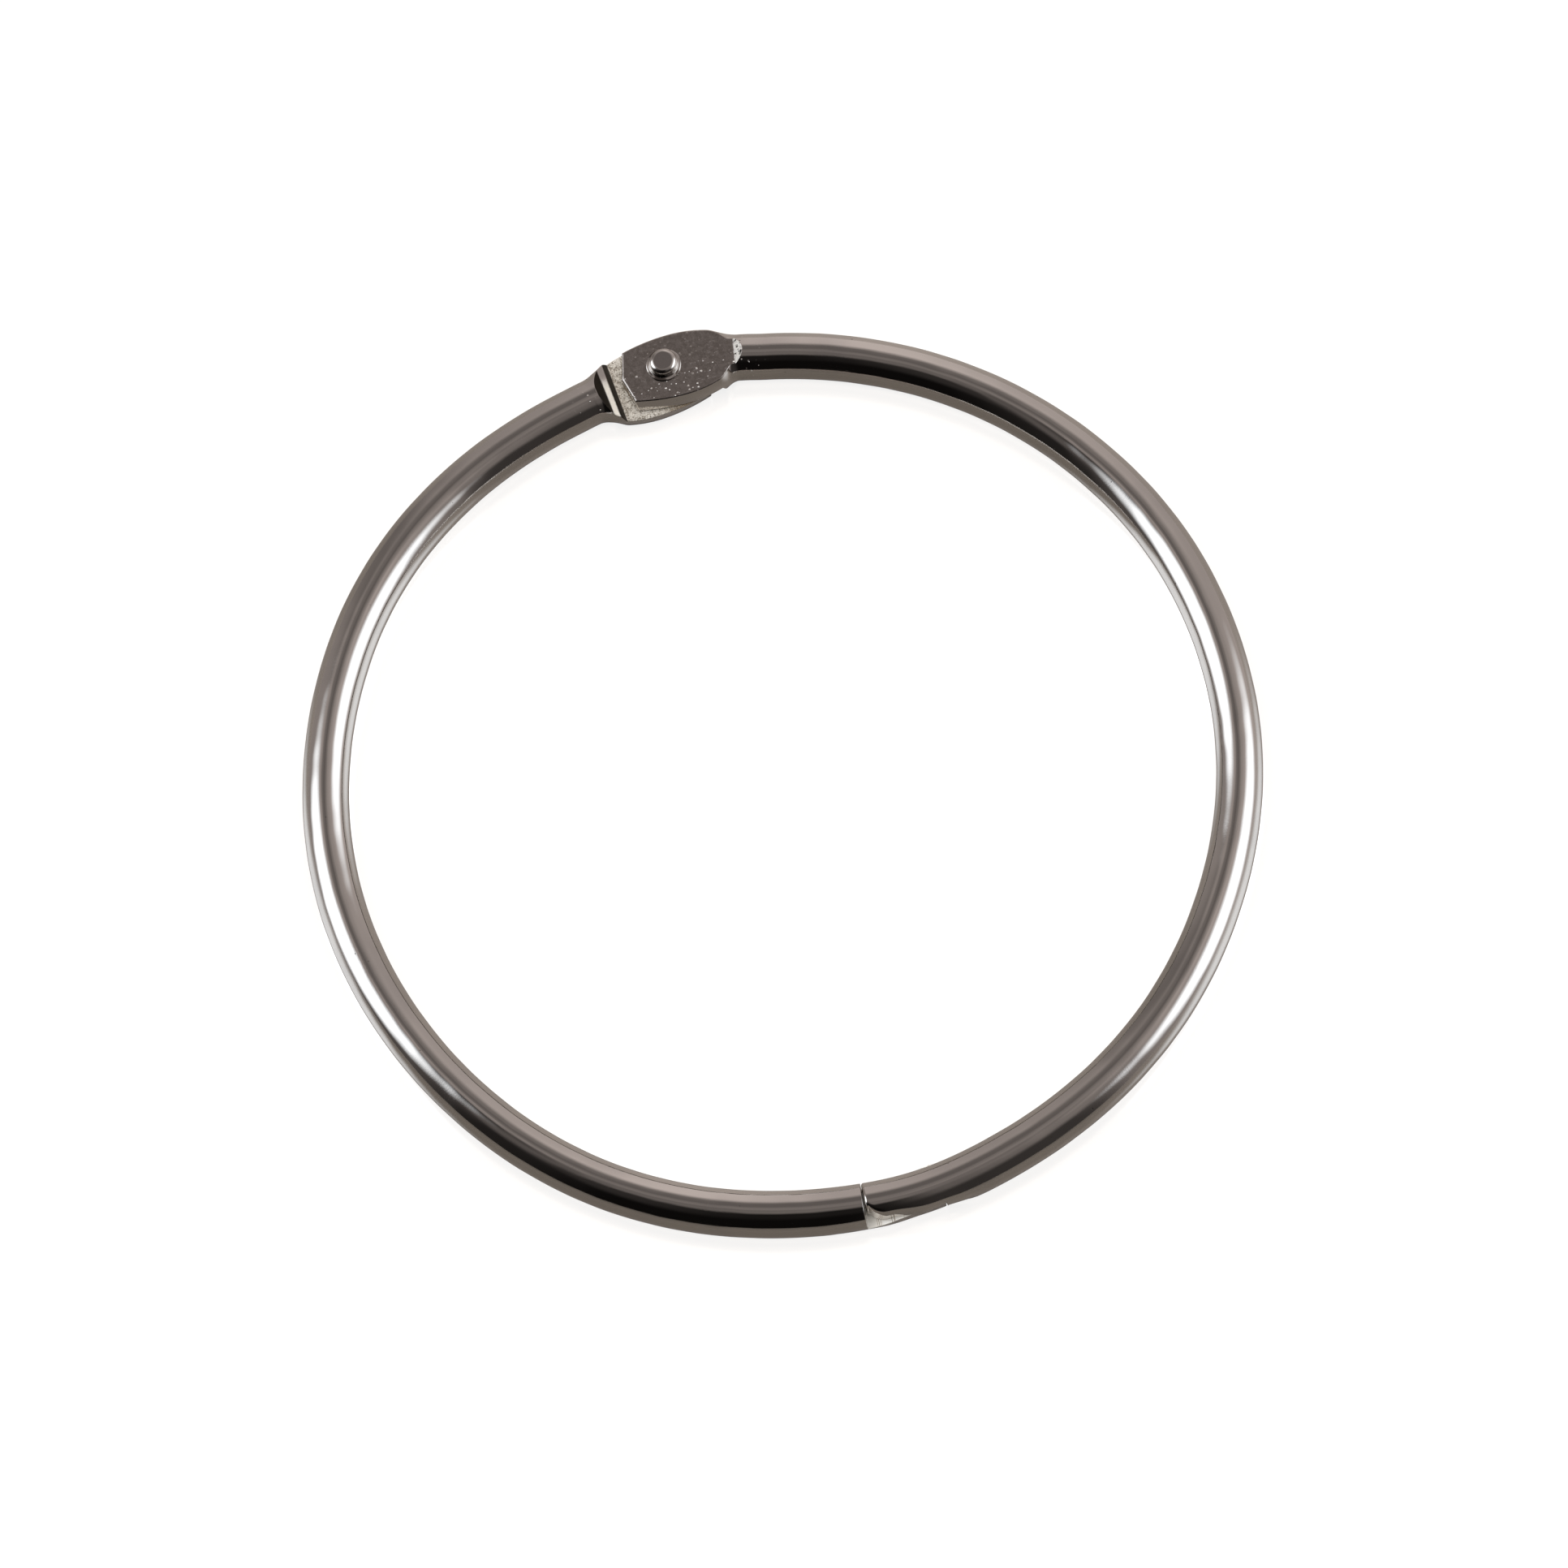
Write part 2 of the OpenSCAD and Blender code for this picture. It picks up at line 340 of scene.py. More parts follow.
    # behind the lap's shoulder the outer side is pressed in more on the mating side
    behind = smoothStep(along, lapEnd - 2.6, lapEnd) * (along < lapEnd + 0.05)
    n = np.where(n > 0, n * (1 - own["fadeUnder"] * behind * smoothStep(z, 0, 0.7)), n)
    # the tongue's end leans, so that its gap is widest on the outer side
    along = along - own["endLean"] * smoothStep(along, end - 2.2, end - 0.2) * (n / wireRadius + 1) / 2

    z = np.clip(z, -wireRadius, wireRadius)
    line = wireLine(along, own)
    tangent = wireLine(along + 0.02, own) - wireLine(along - 0.02, own)
    tangent /= np.linalg.norm(tangent, axis=-1, keepdims=True)
    outward = np.stack([tangent[..., 1], -tangent[..., 0]], axis=-1)
    points = np.concatenate([line + n[..., None] * outward, z[..., None]], axis=-1)
    points[..., 1] = np.maximum(points[..., 1], lowestY)
    if turnedOver:
        points *= np.array([-1, 1, -1])
    marks = {"place": np.stack([along, n, z], axis=-1)}
    return gridObject(name, points, marks | formingMarks(part, along, spec, lapEnd))


# what sets each half apart: the lower one is on the left, and the ring was bent a little out of round.
# A sway is (degrees from the hinge, width in degrees, height), a ripple (size, rate, fold, shift).
leftOwn = {
    "eyeWidth": 6.8, "eyeStretch": 1.35, "neckSideRadius": 12,
    "eyeInside": 0.31, "eyeTilt": 0.08, "eyeToWire": (4, 9),
    "sway": [(10, 16, -0.37), (47, 16, 0.22), (112, 18, -0.15), (146, 16, 0.12), (180, 8, 0.175)],
    "narrowAtLap": 0.18, "narrowAtNose": 0.50, "noseLength": 0.3, "noseWidth": 0.05,
    "noseRound": 0.05, "fadeUnder": 0.0, "endLean": 0.0,
    "ledgeBow": 0.02, "ledgeMiddle": 0.3,
    "ripples": [(0.0020, 0.71, 1, 0.4), (0.0016, 1.37, 2, 2.1), (0.0012, 2.3, 3, 4.4)],
}
rightOwn = {
    "eyeWidth": 6.45, "eyeStretch": 1.35, "neckSideRadius": 11.5,
    "eyeInside": 0.25, "eyeTilt": 0.0, "eyeToWire": (3, 9),
    "sway": [(20, 20, -0.07), (72, 10, 0.05), (122, 14, -0.10), (158, 12, -0.03), (178, 9, 0.22)],
    "narrowAtLap": 0.22, "narrowAtNose": 0.60, "noseLength": 1.9, "noseWidth": 1.55,
    "noseRound": 0.24, "fadeUnder": 0.28, "endLean": 0.2,
    "ledgeBow": 0.02, "ledgeMiddle": 0.0,
    "ripples": [(0.0020, 0.83, 1, 1.9), (0.0016, 1.52, 2, 0.3), (0.0012, 2.1, 3, 5.2)],
}


def cutBore(half, diameter):
    # a round hole along the rivet's axis, cut with a cylinder that is thrown away again
    shape = bmesh.new()
    radius = diameter / 2 * mm
    onAxis = Matrix.Translation(Vector((hinge.x, hinge.y, 0)) * mm)
    bmesh.ops.create_cone(shape, cap_ends=True, segments=96, radius1=radius, radius2=radius,
                          depth=10 * mm, matrix=onAxis)
    mesh = bpy.data.meshes.new("bore")
    shape.to_mesh(mesh)
    shape.free()
    cutter = bpy.data.objects.new("bore", mesh)
    bpy.context.scene.collection.objects.link(cutter)
    bore = half.modifiers.new("bore", "BOOLEAN")
    bore.operation, bore.solver, bore.object = "DIFFERENCE", "EXACT", cutter
    normals = half.modifiers.new("normals", "WEIGHTED_NORMAL")
    normals.weight, normals.keep_sharp = 60, False
    bpy.context.view_layer.update()
    evaluated = half.evaluated_get(bpy.context.evaluated_depsgraph_get())
    finished = bpy.data.meshes.new_from_object(evaluated)
    half.modifiers.clear()
    half.data = finished
    bpy.data.objects.remove(cutter)


leftHalf = makeHalf("left_half_wire", halfRing, leftOwn, False)
rightHalf = makeHalf("right_half_wire", halfRing, rightOwn, True)
for half in (leftHalf, rightHalf):
    cutBore(half, halfRing["bore"])
    print("%s made: %d faces" % (half.name, len(half.data.polygons)))


rivetSpec = {
    "shank": 1.9, "head": 2.5, "collar": 3.1, "headHeight": 1.1, "headGap": 0.02,
    "collarThick": 0.12, "topFlat": 1.6, "fillet": 0.07, "around": 96,
}


def makeRivet(name, spec):
    # a profile of radius and height turned about the rivet's axis, its radius swelling a little
    # with the angle: crown, head, collar, shank, low head
    top = halfRing["faceGap"] / 2 + halfRing["eyeThick"]
    foot = top + spec["headGap"]
    shank, head, collar, flat = (spec[k] / 2 for k in ("shank", "head", "collar", "topFlat"))
    edge = head - flat
    bend = np.linspace(0, math.pi / 2, 10)
    crown = foot + spec["headHeight"]
    low = -wireRadius
    fillet, lip = spec["fillet"], spec["collarThick"] / 2
    outside, inside = bend[::2], bend[::-2]
    radius = np.concatenate([
        [0, flat * 0.5, flat - 0.03], flat + edge * np.sin(bend),
        [head, head + 0.01], head + 0.01 + fillet * (1 - np.sin(inside)),
        collar - lip + lip * np.sin(outside * 2),
        [shank, shank, collar - 0.05],
        collar - 0.10 * (1 - np.sin(outside * 2)), [collar * 0.6, 0]])
    height = np.concatenate([
        [crown] * 3, crown - edge * (1 - np.cos(bend)),
        [crown - edge - 0.1, foot + 2 * lip + fillet + 0.02], foot + 2 * lip + fillet * (1 - np.cos(inside)),
        foot + lip + lip * np.cos(outside * 2),
        [foot, -top, -top],
        (low - top) / 2 + (-top - low) / 2 * np.cos(outside * 2), [low, low]])
    turn = np.linspace(0, 2 * math.pi, spec["around"], endpoint=False)
    swell = 1 + 0.012 * np.sin(2 * turn + 0.6) + 0.008 * np.sin(5 * turn)
    r = radius[:, None] * swell[None, :]
    points = np.stack([r * np.cos(turn), r * np.sin(turn), height[:, None] + 0 * r], axis=-1)
    points += np.array([hinge.x, hinge.y, 0])
    place = [radius[:, None] + 0 * r, turn[None, :] + 0 * r, height[:, None] + 0 * r]
    return gridObject(name, points, {"place": np.stack(place, axis=-1)})


rivet = makeRivet("hinge_rivet", rivetSpec)
print("rivet made: %d faces" % len(rivet.data.polygons))


def newMaterial(name):
    # a material, its node tree, and the shader that comes with it
    material = bpy.data.materials.new(name)
    material.use_nodes = True
    tree = material.node_tree
    return material, tree, tree.nodes["Principled BSDF"]


def feed(tree, socket, value):
    # a number is set on the socket, an output is linked to it
    if isinstance(value, bpy.types.NodeSocket):
        tree.links.new(value, socket)
    else:
        socket.default_value = value


def mathNode(tree, operation, *values):
    # one step of arithmetic on numbers or outputs
    node = tree.nodes.new("ShaderNodeMath")
    node.operation = operation
    for socket, value in zip(node.inputs, values):
        feed(tree, socket, value)
    return node.outputs[0]


def times(tree, a, b):
    # a times b
    return mathNode(tree, "MULTIPLY", a, b)


def timesPlus(tree, a, b, c):
    # a times b, plus c
    return mathNode(tree, "MULTIPLY_ADD", a, b, c)


def minus(tree, a, b):
    # a less b
    return mathNode(tree, "SUBTRACT", a, b)


def larger(tree, a, b):
    # the larger of the two
    return mathNode(tree, "MAXIMUM", a, b)


def fade(tree, value, low, high, start=0.0, end=1.0):
    # eases from start to end while the value goes from low to high
    node = tree.nodes.new("ShaderNodeMapRange")
    node.interpolation_type = "SMOOTHSTEP"
    feed(tree, node.inputs["Value"], value)
    for key, number in zip(("From Min", "From Max", "To Min", "To Max"), (low, high, start, end)):
        feed(tree, node.inputs[key], number)
    return node.outputs["Result"]


def scaled(tree, vector, scale, move=(0, 0, 0)):
    # the vector times the scale, plus the move
    node = tree.nodes.new("ShaderNodeMapping")
    tree.links.new(vector, node.inputs["Vector"])
    node.inputs["Scale"].default_value = scale
    node.inputs["Location"].default_value = move
    return node.outputs[0]


def parted(tree, vector):
    # the vector's X, Y and Z
    node = tree.nodes.new("ShaderNodeSeparateXYZ")
    tree.links.new(vector, node.inputs[0])
    return node.outputs["X"], node.outputs["Y"], node.outputs["Z"]


def noise(tree, vector, scale, detail=2.0, roughness=0.5):
    # soft noise about 0.5, with this many waves to the vector's unit
    node = tree.nodes.new("ShaderNodeTexNoise")
    tree.links.new(vector, node.inputs["Vector"])
    for key, value in (("Scale", scale), ("Detail", detail), ("Roughness", roughness)):
        node.inputs[key].default_value = value
    return node.outputs["Fac"]


def scattered(tree, vector, scale):
    # points scattered at random: the distance to the nearest one, and its own random numbers
    node = tree.nodes.new("ShaderNodeTexVoronoi")
    tree.links.new(vector, node.inputs["Vector"])
    node.inputs["Scale"].default_value = scale
    chance = tree.nodes.new("ShaderNodeSeparateColor")
    tree.links.new(node.outputs["Color"], chance.inputs[0])
    return node.outputs["Distance"], chance.outputs


def mixColour(tree, amount, a, b):
    # a where the amount is 0, b where it is 1
    node = tree.nodes.new("ShaderNodeMix")
    node.data_type = "RGBA"
    feed(tree, node.inputs["Factor"], amount)
    feed(tree, node.inputs[6], a)
    feed(tree, node.inputs[7], b)
    return node.outputs[2]


def bump(tree, height):
    # the normal of a surface that stands this many millimetres out
    node = tree.nodes.new("ShaderNodeBump")
    node.inputs["Strength"].default_value = 1
    node.inputs["Distance"].default_value = mm
    feed(tree, node.inputs["Height"], height)
    return node.outputs["Normal"]


def newGroup(name):
    # a node group that is given one vector
    tree = bpy.data.node_groups.new(name, "ShaderNodeTree")
    tree.interface.new_socket("Vector", in_out="INPUT", socket_type="NodeSocketVector")
    return tree, tree.nodes.new("NodeGroupInput").outputs["Vector"]


def handBack(tree, values):
    # gives a group its named outputs
    for key in values:
        tree.interface.new_socket(key, in_out="OUTPUT", socket_type="NodeSocketFloat")
    sockets = tree.nodes.new("NodeGroupOutput").inputs
    for key, value in values.items():
        tree.links.new(value, sockets[key])
    return tree


def useGroup(tree, group, vector):
    # the outputs of a group that is given this vector
    node = tree.nodes.new("ShaderNodeGroup")
    node.node_tree = group
    tree.links.new(vector, node.inputs["Vector"])
    return node.outputs


# here and in the finishes below, a fade is (from, to), or (from, to, value before, value after)
plating = {
    "grainPerMm": 7.5, "patchPerMm": 0.11, "patchFade": (0.47, 0.66), "grainEverywhere": 0.15,
    "pitPerMm": 0.9, "pitSize": 0.085, "pitDepth": 0.8, "pitPlacePerMm": 0.35, "pitPlaceFade": (0.56, 0.60),
    "linePerMm": 5.5, "lineStretch": (0.035, 1, 1), "linePlaceStretch": (0.09, 0.3, 0.3),
    "linePlaceMove": (7, 2, 4), "linePlaceFade": (0.35, 0.7),
    "pressPerMm": 9.0, "mottlePerMm": 2.7,
    "dotPerMm": 2.8, "dotSize": 0.22, "dotSmallest": 0.7, "dotSpread": 1.4, "dotChanceFade": (0.25, 0.75),
    "scratchPerMm": 3.0, "scratchStretch": (0.22, 4.5, 1), "scratchFade": (0.66, 0.72),
    "scratchPlaceFade": (0.5, 0.62),
}


def makePlatedGrain(spec):
    # nickel plate: a sand-like grain that comes and goes in patches, and a few small pits.
    # The height is the grain, weaker between the patches, less the pits.
    tree, vector = newGroup("platedGrain")
    patch = fade(tree, noise(tree, vector, spec["patchPerMm"], 3, 0.6), *spec["patchFade"])
    grain = minus(tree, noise(tree, vector, spec["grainPerMm"], 2, 0.6), 0.5)
    distance = scattered(tree, vector, spec["pitPerMm"])[0]
    pit = fade(tree, distance, spec["pitSize"] * 0.4, spec["pitSize"], 1, 0)
    rare = fade(tree, noise(tree, vector, spec["pitPlacePerMm"], 1), *spec["pitPlaceFade"])
    pits = times(tree, pit, rare)
    level = timesPlus(tree, patch, 1 - spec["grainEverywhere"], spec["grainEverywhere"])
    height = minus(tree, times(tree, grain, level), times(tree, pits, spec["pitDepth"]))
    return handBack(tree, {"Height": height, "Patch": patch, "Pits": pits})


def makeDrawnLines(spec):
    # fine lines along the wire that its drawing die left, faint and broken: one noise drawn
    # out along the wire, times another that comes and goes
    tree, vector = newGroup("drawnLines")
    lines = noise(tree, scaled(tree, vector, spec["lineStretch"]), spec["linePerMm"], 3, 0.65)
    place = scaled(tree, vector, spec["linePlaceStretch"], spec["linePlaceMove"])
    level = fade(tree, noise(tree, place, 1.0, 2), *spec["linePlaceFade"])
    return handBack(tree, {"Height": times(tree, minus(tree, lines, 0.5), level)})


def makePressMarks(spec):
    # the skin of a pressed face: close mottling, bright pinpricks of many sizes, some left
    # out by chance, and short scratches, thin streaks of noise that the mottling breaks up
    tree, vector = newGroup("pressMarks")
    fine = noise(tree, vector, spec["pressPerMm"], 3, 0.7)
    mottle = noise(tree, vector, spec["mottlePerMm"], 3, 0.65)
    distance, chance = scattered(tree, vector, spec["dotPerMm"])
    reach = times(tree, distance, timesPlus(tree, chance[1], spec["dotSpread"], spec["dotSmallest"]))
    dots = fade(tree, reach, spec["dotSize"] * 0.5, spec["dotSize"] * 1.3, 1, 0)
    dots = times(tree, dots, fade(tree, chance[0], *spec["dotChanceFade"]))
    thin = noise(tree, scaled(tree, vector, spec["scratchStretch"]), spec["scratchPerMm"], 1, 0.4)
    streaks = fade(tree, thin, *spec["scratchFade"])
    scratches = times(tree, streaks, fade(tree, mottle, *spec["scratchPlaceFade"]))
    height = minus(tree, fine, 0.5)
    return handBack(tree, {"Height": height, "Dots": dots, "Scratches": scratches, "Mottle": mottle})


platedGrain = makePlatedGrain(plating)
drawnLines = makeDrawnLines(plating)
pressMarks = makePressMarks(plating)


def objectMm(tree):
    # the place on the object, in millimetres
    return scaled(tree, tree.nodes.new("ShaderNodeTexCoord").outputs["Object"], (1000, 1000, 1000))


def attribute(tree, name, kind="Fac"):
    # what the mesh holds under this name
    node = tree.nodes.new("ShaderNodeAttribute")
    node.attribute_name = name
    return node.outputs[kind]


wireFinish = {
    "nickel": (0.67, 0.635, 0.60, 1), "patchTint": (0.60, 0.57, 0.545, 1), "patchShare": 0.6,
    "pitTint": (0.22, 0.20, 0.19, 1), "roughness": 0.055, "patchRoughness": 0.10,
    "grainDepth": 0.0035, "lineDepth": 0.003,
    # the flat on the outside of the eye
    "outerFace": (0.50, 0.455, 0.425, 1), "outerFaceDark": (0.40, 0.36, 0.33, 1), "outerFade": (0.35, 0.62),
    "outerRoughness": 0.22, "outerDepth": 0.008,
    # the flat that faces the other eye, cream and partly a painted sheen, and brown towards the eye's point,
    # a painted shade where it runs under the other eye
    "innerFace": (1.0, 0.94, 0.85, 1), "innerFaceDark": (0.36, 0.31, 0.25, 1), "innerFade": (-0.17, 0.10),
    "innerShadeColour": (0.36, 0.27, 0.18, 1), "shadeAlong": (2.4, -1.2), "shadeMottle": (0.25, 0.5, 0.55, 1),
    "mottleShare": 0.8, "innerRoughness": 0.45, "innerDepth": 0.12, "innerMatt": 0.8,
    "foldDepth": 0.25, "foldLean": 1.3, "foldAlong": (2.6, 4.7, 0.5, 0),
    # the torn step at the end of the outer flat, mottled with painted shade and painted glints, and the
    # shoulder's two ramps in painted shade and its ledge with a painted sheen
    "stepFace": (0.97, 0.95, 0.91, 1), "tornFade": (0.41, 0.48), "stepRoughness": 0.35,
    "stepDepth": 0.12, "stepMatt": 0.5,
    # near black: painted shade on the shoulder's ramps and in the torn step
    "corner": (0.035, 0.027, 0.02, 1), "cornerRoughness": 0.5,
    "ledgeFace": (0.98, 0.93, 0.84, 1), "ledgeRoughness": 0.8, "sheenAcross": (1.6, 0.2),
    "ledgeDepthShare": 0.5,
    # pinpricks, pale as painted glints, and scratches
    "dotGlint": (0.95, 0.92, 0.88, 1), "dotAcross": (0.6, -1.3, 0.15, 1), "dotMatt": 0.8, "dotDepth": 0.035,
    "burrFrom": (6.3, 6.9), "burrTo": (7.4, 9.4, 0.8, 0), "scratchShare": 0.35,
    # the catch tongue's mating face: pale, a painted reflection of a bright panel, with fine dark lines
    "lapFace": (0.95, 0.93, 0.88, 1), "lapRoughness": 0.25, "lapMatt": 0.85,
    "lapLine": (0.30, 0.24, 0.18, 1), "lapLinesPerMm": 1.1, "lapLineStretch": (1, 0.05, 0.05),
    "lapLineFade": (0.004, 0.014, 1, 0),
}


def makeNickelWire(name, spec):
    # bright plating, over which each mark of the forming tools lays its own colour, roughness
    # and height; some colours are painted shade, painted sheen, painted glints and a painted reflection.
    # place holds the distance along the wire, outward from its middle, and up.
    material, tree, shader = newMaterial(name)
    links = tree.links
    place = attribute(tree, "place", "Vector")
    where = objectMm(tree)
    grain = useGroup(tree, platedGrain, where)
    lines = useGroup(tree, drawnLines, place)
    press = useGroup(tree, pressMarks, where)
    outer, inner, step = (attribute(tree, key) for key in ("outerFlat", "innerFlat", "flatStep"))
    low, ledge, high = (attribute(tree, key) for key in ("lowRamp", "ledge", "highRamp"))
    lap = attribute(tree, "scarf")
    alongWire, outward = parted(tree, place)[:2]
    mottle = press["Mottle"]

    patches = times(tree, grain["Patch"], spec["patchShare"])
    colour = mixColour(tree, patches, spec["nickel"], spec["patchTint"])
    colour = mixColour(tree, grain["Pits"], colour, spec["pitTint"])
    face = mixColour(tree, fade(tree, mottle, *spec["outerFade"]), spec["outerFaceDark"], spec["outerFace"])
    colour = mixColour(tree, outer, colour, face)
    uneven = timesPlus(tree, minus(tree, mottle, 0.5), spec["mottleShare"], press["Height"])
    bed = mixColour(tree, fade(tree, uneven, *spec["innerFade"]), spec["innerFaceDark"], spec["innerFace"])
    # the pressed face inside the hinge turns from cream to brown towards the eye's point: painted shade
    # where it runs under the other eye
    underEyeShade = times(tree, fade(tree, alongWire, *spec["shadeAlong"]), fade(tree, mottle, *spec["shadeMottle"]))
    bed = mixColour(tree, underEyeShade, bed, spec["innerShadeColour"])
    colour = mixColour(tree, inner, colour, bed)
    # the torn step is mottled near black and white: painted shade and painted glints
    torn = fade(tree, mottle, *spec["tornFade"])
    colour = mixColour(tree, step, colour, mixColour(tree, torn, spec["corner"], spec["stepFace"]))
    # fine dark lines lie across the ramp of each catch tongue, where a noise crosses its middle; the pale
    # face between them is a painted reflection of a bright panel
    wave = noise(tree, scaled(tree, place, spec["lapLineStretch"]), spec["lapLinesPerMm"], 2, 0.5)
    line = fade(tree, mathNode(tree, "ABSOLUTE", minus(tree, wave, 0.5)), *spec["lapLineFade"])
    colour = mixColour(tree, lap, colour, mixColour(tree, line, spec["lapFace"], spec["lapLine"]))
    # the shoulder's ledge has a painted sheen towards the ring's inner side; the ramps beside it get near
    # black painted shade
    ledgeSheen = times(tree, ledge, fade(tree, outward, *spec["sheenAcross"]))
    colour = mixColour(tree, ledgeSheen, colour, spec["ledgeFace"])
    corners = larger(tree, high, low)
    colour = mixColour(tree, corners, colour, spec["corner"])
    # pinpricks, most of them towards the ring's middle, and a few on the wire beside the shoulder; their
    # pale colour is a painted glint
    burred = times(tree, fade(tree, alongWire, *spec["burrFrom"]), fade(tree, alongWire, *spec["burrTo"]))
    pricked = times(tree, larger(tree, outer, burred), fade(tree, outward, *spec["dotAcross"]))
    pricks = times(tree, press["Dots"], pricked)
    colour = mixColour(tree, pricks, colour, spec["dotGlint"])
    links.new(colour, shader.inputs["Base Color"])

    roughness = fade(tree, grain["Patch"], 0, 1, spec["roughness"], spec["patchRoughness"])
    for mask, key in ((outer, "outer"), (inner, "inner"), (step, "step"), (lap, "lap"), (ledgeSheen, "ledge"),
                      (corners, "corner")):
        change = minus(tree, spec[key + "Roughness"], roughness)
        roughness = timesPlus(tree, change, mask, roughness)
    links.new(roughness, shader.inputs["Roughness"])
    # where a face was pressed or torn the plate is so rough that it scatters light like a pale matt coat;
    # its pale colour is partly a painted sheen
    matt = larger(tree, times(tree, inner, spec["innerMatt"]), times(tree, lap, spec["lapMatt"]))
    matt = larger(tree, matt, times(tree, larger(tree, step, ledgeSheen), spec["stepMatt"]))
    matt = larger(tree, matt, times(tree, pricks, spec["dotMatt"]))
    links.new(minus(tree, 1, matt), shader.inputs["Metallic"])

    height = times(tree, grain["Height"], spec["grainDepth"])
    height = timesPlus(tree, lines["Height"], spec["lineDepth"], height)
    height = timesPlus(tree, times(tree, press["Height"], outer), spec["outerDepth"], height)
    burr = timesPlus(tree, times(tree, press["Scratches"], outer), spec["scratchShare"], pricks)
    height = timesPlus(tree, burr, spec["dotDepth"], height)
    torn = timesPlus(tree, timesPlus(tree, ledgeSheen, spec["ledgeDepthShare"], inner), spec["innerDepth"],
                     times(tree, step, spec["stepDepth"]))
    height = timesPlus(tree, mathNode(tree, "ADD", press["Height"], mottle), torn, height)
    # next to the shoulder the press left the inner face leaning towards the wire, in folds
    folds = timesPlus(tree, mottle, spec["foldDepth"], fade(tree, alongWire, *spec["foldAlong"]))
    height = timesPlus(tree, times(tree, inner, spec["foldLean"]), folds, height)
    links.new(bump(tree, height), shader.inputs["Normal"])
    return material


rivetFinish = {
    "nickel": (0.66, 0.625, 0.59, 1), "topFace": (0.50, 0.46, 0.44, 1), "foot": (0.30, 0.26, 0.23, 1),
    "patchShare": 0.5, "topShare": 0.8, "pitShare": 0.8,
    "collarDull": (0.20, 0.175, 0.155, 1), "collarPatchPerMm": 0.75, "collarFade": (0.52, 0.60),
    "roughness": 0.06, "topRoughness": 0.16, "grainDepth": 0.0016, "topDepth": 0.006,
}


def makeNickelRivet(name, spec):
    # the same plating, duller on the head's flat top. place holds the radius, the angle and the height.
    material, tree, shader = newMaterial(name)
    where = objectMm(tree)
    grain = useGroup(tree, platedGrain, where)
    press = useGroup(tree, pressMarks, where)
    radius, _, up = parted(tree, attribute(tree, "place", "Vector"))
    flat, head = rivetSpec["topFlat"] / 2, rivetSpec["head"] / 2
    top = times(tree, fade(tree, radius, flat - 0.04, flat + 0.02, 1, 0),
                fade(tree, up, wireRadius, wireRadius + 0.2))
    patches = times(tree, grain["Patch"], spec["patchShare"])
    colour = mixColour(tree, patches, spec["nickel"], spec["topFace"])
    colour = mixColour(tree, times(tree, top, spec["topShare"]), colour, spec["topFace"])
    colour = mixColour(tree, times(tree, grain["Pits"], spec["pitShare"]), colour, spec["foot"])
    # the thin collar round the head is bright in some places and dull in others
    around = noise(tree, scaled(tree, where, (1, 1, 0)), spec["collarPatchPerMm"], 1, 0.4)
    collar = fade(tree, radius, head + 0.02, head + 0.08)
    dull = times(tree, collar, fade(tree, around, *spec["collarFade"]))
    colour = mixColour(tree, dull, colour, spec["collarDull"])
    tree.links.new(colour, shader.inputs["Base Color"])
    roughness = fade(tree, top, 0, 1, spec["roughness"], spec["topRoughness"])
    tree.links.new(roughness, shader.inputs["Roughness"])
    shader.inputs["Metallic"].default_value = 1
    height = times(tree, grain["Height"], spec["grainDepth"])
    height = timesPlus(tree, times(tree, press["Height"], top), spec["topDepth"], height)
    tree.links.new(bump(tree, height), shader.inputs["Normal"])
    return material


nickelWire = makeNickelWire("nickelWire", wireFinish)
leftHalf.data.materials.append(nickelWire)
rightHalf.data.materials.append(nickelWire)
rivet.data.materials.append(makeNickelRivet("nickelRivet", rivetFinish))
print("nickel finishes made")

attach(leftHalf, "left")
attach(rivet, "left")
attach(rightHalf, "right")
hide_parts("left_half")
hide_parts("right_half")
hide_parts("rivet")
print("pieces handed over")


